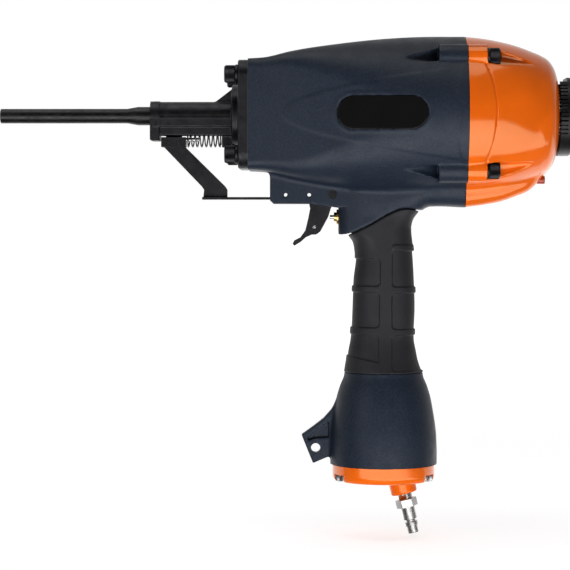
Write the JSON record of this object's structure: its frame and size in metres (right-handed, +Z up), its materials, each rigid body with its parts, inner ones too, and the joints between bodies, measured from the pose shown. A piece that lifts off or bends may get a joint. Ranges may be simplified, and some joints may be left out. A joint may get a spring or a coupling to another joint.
{
  "type": "pneumatic rivet gun",
  "caption": "Hand-held pneumatic single-shot rivet driver with a long barrel, sprung contact arm, trigger, rubber grip and air plug.",
  "frame": {"origin": "centre of the muzzle face, on the drive axis", "axes": "+X along the drive axis from the muzzle to the exhaust deflector, +Z up, the handle hangs along -Z"},
  "size_m": [0.427, 0.1182, 0.3721],
  "materials": {
    "slate_coat": "fine powder coat",
    "orange_gloss": "glossy",
    "red_plug": "glossy",
    "grip_rubber": "matt",
    "black_oxide": "satin",
    "barrel_steel": "satin",
    "bright_steel": "ground",
    "spring_steel": "drawn wire",
    "plug_steel": "plated",
    "brass": "machined",
    "cast_aluminium": "machined",
    "seal_rubber": "smooth",
    "bumper_rubber": "smooth",
    "deflector_plastic": "satin",
    "plate_black": "glossy"
  },
  "bodies": {
    "housing": {"main_housing": "slate_coat", "grip_sleeve": "grip_rubber", "nose_body": "black_oxide", "blade_guide": "bright_steel", "nose_gasket": "seal_rubber", "nose_screws": "black_oxide", "nose_lock_washers": "black_oxide", "name_plates": "plate_black", "cylinder_sleeve": "bright_steel", "cylinder_o_rings": "seal_rubber", "bumper": "bumper_rubber", "cylinder_cap": "orange_gloss", "cap_gasket": "seal_rubber", "cap_screws": "black_oxide", "cap_lock_washers": "black_oxide", "passage_plug": "red_plug", "deflector_screw": "black_oxide", "trigger_pin": "black_oxide", "pin_retainers": "black_oxide", "trigger_valve_body": "brass", "valve_o_rings": "seal_rubber", "end_cap": "orange_gloss", "end_cap_gasket": "seal_rubber", "end_cap_screws": "bright_steel", "air_plug": "plug_steel", "contact_spring": "spring_steel", "head_valve_spring": "spring_steel", "trigger_valve_spring": "spring_steel", "trigger_spring": "spring_steel"},
    "contact": {"barrel_tube": "barrel_steel", "arm_shoe": "black_oxide", "contact_arm": "black_oxide", "arm_pins": "black_oxide", "spring_guide": "bright_steel"},
    "driver": {"piston": "cast_aluminium", "piston_ring": "seal_rubber", "driver_blade": "bright_steel"},
    "head_valve": {"head_valve": "cast_aluminium", "head_valve_o_ring": "seal_rubber"},
    "trigger": {"trigger": "black_oxide", "lever_pin": "bright_steel"},
    "idle_lever": {"idle_lever": "bright_steel"},
    "valve_stem": {"valve_stem": "bright_steel"},
    "deflector": {"deflector": "deflector_plastic"}
  },
  "joints": [
    {"name": "contact_slide", "type": "slide", "parent": "housing", "child": "contact", "axis": [1, 0, 0], "range_m": [0, 0.012], "stiffness_N_per_m": 600, "springref_m": -0.03, "deforming": ["contact_spring"]},
    {"name": "piston_drive", "type": "slide", "parent": "housing", "child": "driver", "axis": [-1, 0, 0], "range_m": [0, 0.118]},
    {"name": "head_valve_slide", "type": "slide", "parent": "housing", "child": "head_valve", "axis": [1, 0, 0], "range_m": [0, 0.006], "stiffness_N_per_m": 3000, "springref_m": -0.008, "deforming": ["head_valve_spring"]},
    {"name": "trigger_pull", "type": "hinge", "parent": "housing", "child": "trigger", "pos_m": [0.2484, 0, -0.0591], "axis": [0, -1, 0], "range_deg": [0, 11], "stiffness_Nm_per_rad": 0.25, "springref_deg": -28.65},
    {"name": "idle_lever_tilt", "type": "hinge", "parent": "trigger", "child": "idle_lever", "pos_m": [0.235, 0, -0.083], "axis": [0, 1, 0], "range_deg": [0, 8]},
    {"name": "valve_stem_slide", "type": "slide", "parent": "housing", "child": "valve_stem", "axis": [1, 0, 0], "range_m": [0, 0.0026], "deforming": ["trigger_valve_spring"]},
    {"name": "deflector_turn", "type": "hinge", "parent": "housing", "child": "deflector", "pos_m": [0.42, 0, 0], "axis": [1, 0, 0], "continuous": true}
  ],
  "couplings": [
    {"joint": "idle_lever_tilt", "follows": "contact_slide", "rad_per_m": 11.6},
    {"joint": "valve_stem_slide", "follows": "trigger_pull", "m_per_rad": 0.0135}
  ]
}
